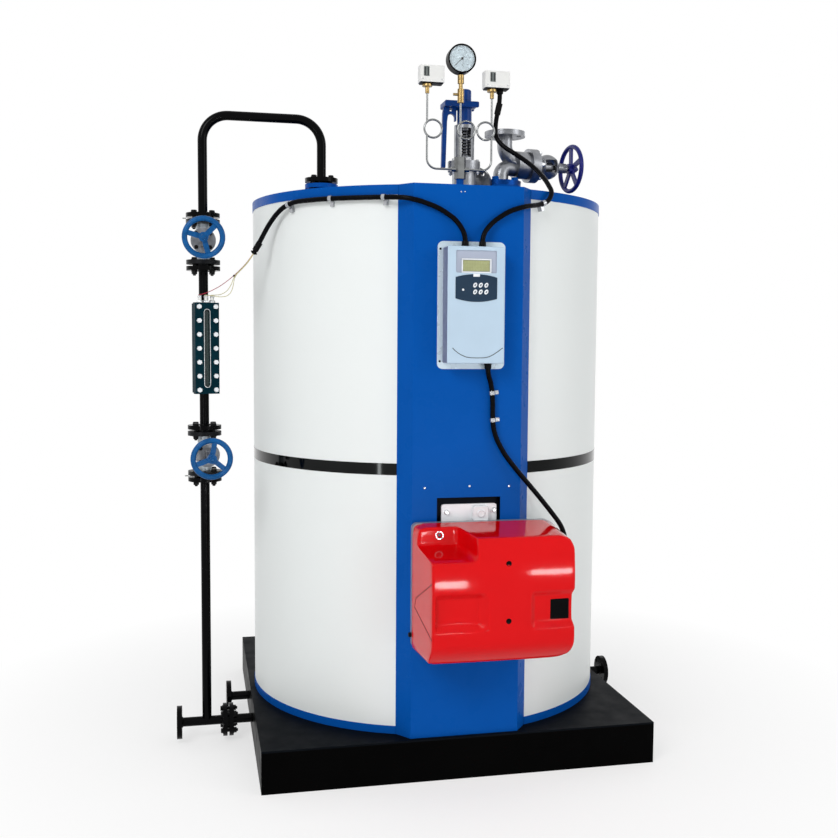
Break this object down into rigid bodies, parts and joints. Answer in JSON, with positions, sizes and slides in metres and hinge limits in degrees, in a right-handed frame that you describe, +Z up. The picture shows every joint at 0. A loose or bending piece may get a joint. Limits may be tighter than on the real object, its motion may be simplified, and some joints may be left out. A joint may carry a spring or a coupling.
{
  "type": "vertical steam generator",
  "caption": "Vertical packaged steam boiler with front burner, controller, level column, pressure gauge tree, safety valve and steam stop valve on a channel plinth.",
  "frame": {"origin": "on the floor, on the boiler's upright axis", "axes": "+Z up, -Y out of the front with the burner and controller, +X to the right as seen from the front"},
  "size_m": [1.714, 1.66, 2.4245],
  "materials": {
    "plinth_black": "satin black enamel",
    "deck_black": "worn black enamel",
    "casing_white": "satin near-white sheet",
    "band_steel": "polished stainless band",
    "boiler_blue": "semi-gloss blue enamel",
    "pipe_black": "black enamel",
    "valve_silver": "silver paint on castings",
    "wheel_blue": "blue enamel",
    "wheel_dark_blue": "dark blue enamel",
    "gauge_teal": "dark teal enamel",
    "sight_glass": "clear",
    "burner_red": "glossy moulded cover",
    "burner_grey": "pale grey enamel",
    "burner_aluminium": "cast, as machined",
    "controller_grey": "fine textured pale grey-blue",
    "controller_plate": "pale grey-blue powder coat",
    "controller_keys": "membrane keypad",
    "controller_screen": "liquid crystal window",
    "gauge_steel": "black enamelled case",
    "dial_white": "printed dial",
    "brass": "turned",
    "siphon_steel": "drawn tube",
    "terminal_plated": "nickel plated",
    "safety_blue": "semi-gloss blue enamel",
    "switch_white": "moulded",
    "spring_steel": "oiled spring steel",
    "flue_steel": "rolled sheet",
    "conduit_black": "corrugated",
    "clip_steel": "zinc plated",
    "wire_red": "insulated wire",
    "wire_pale": "insulated wire"
  },
  "bodies": {
    "boiler": {"base_plate": "boiler_blue", "burner_chassis": "burner_grey", "burner_conduit": "conduit_black", "burner_cover": "burner_red", "burner_mounting_plate": "burner_aluminium", "casing_band": "band_steel", "conduit_clips": "clip_steel", "controller_back_plate": "controller_plate", "controller_display": "controller_screen", "controller_housing": "controller_grey", "controller_keypad": "controller_keys", "crown_nozzles": "boiler_blue", "crown_plate": "boiler_blue", "far_probe_wire": "wire_pale", "flue_outlet": "flue_steel", "front_pilaster": "boiler_blue", "gauge_cock": "brass", "gauge_dial": "dial_white", "gauge_links": "pipe_black", "gauge_manifold": "siphon_steel", "left_pressure_switch": "switch_white", "level_arch_pipe": "pipe_black", "level_conduit": "conduit_black", "level_drop_pipe": "pipe_black", "level_gauge_chamber": "gauge_teal", "level_gauge_cover": "gauge_teal", "level_glass": "sight_glass", "lower_casing": "casing_white", "lower_gauge_valve": "valve_silver", "lower_valve_bonnet": "valve_silver", "near_probe_wire": "wire_pale", "plinth_back_channel": "plinth_black", "plinth_cross_member": "plinth_black", "plinth_deck": "deck_black", "plinth_front_channel": "plinth_black", "plinth_left_channel": "plinth_black", "plinth_right_channel": "plinth_black", "plinth_stubs": "pipe_black", "pressure_gauge": "gauge_steel", "probe_terminals": "terminal_plated", "red_probe_wire": "wire_red", "right_pressure_switch": "switch_white", "safety_valve_body": "valve_silver", "safety_valve_cap": "safety_blue", "safety_valve_spring": "spring_steel", "safety_valve_yoke": "valve_silver", "siphon_tubes": "siphon_steel", "steam_valve_body": "valve_silver", "steam_valve_bonnet": "valve_silver", "switch_bellows": "brass", "switch_conduit": "conduit_black", "upper_casing": "casing_white", "upper_gauge_valve": "valve_silver", "upper_valve_bonnet": "valve_silver"},
    "upper_wheel": {"upper_valve_wheel": "wheel_blue"},
    "lower_wheel": {"lower_valve_wheel": "wheel_blue"},
    "steam_wheel": {"steam_valve_wheel": "wheel_dark_blue"},
    "lift_lever": {"safety_lever": "safety_blue"}
  },
  "joints": [
    {"name": "upper_wheel_turn", "type": "hinge", "parent": "boiler", "child": "upper_wheel", "pos_m": [-0.82, -0.358, 1.76], "axis": [0, -1, 0], "range_deg": [0, 810]},
    {"name": "lower_wheel_turn", "type": "hinge", "parent": "boiler", "child": "lower_wheel", "pos_m": [-0.79909, -0.3569, 1.03], "axis": [0.1045, -0.9945, 0], "range_deg": [0, 810]},
    {"name": "steam_wheel_turn", "type": "hinge", "parent": "boiler", "child": "steam_wheel", "pos_m": [0.54958, -0.05651, 2.08], "axis": [0.9877, 0.1564, 0], "range_deg": [0, 1710]},
    {"name": "lever_lift", "type": "hinge", "parent": "boiler", "child": "lift_lever", "pos_m": [0.129, -0.2, 2.262], "axis": [0, 1, 0], "range_deg": [0, 25]}
  ]
}
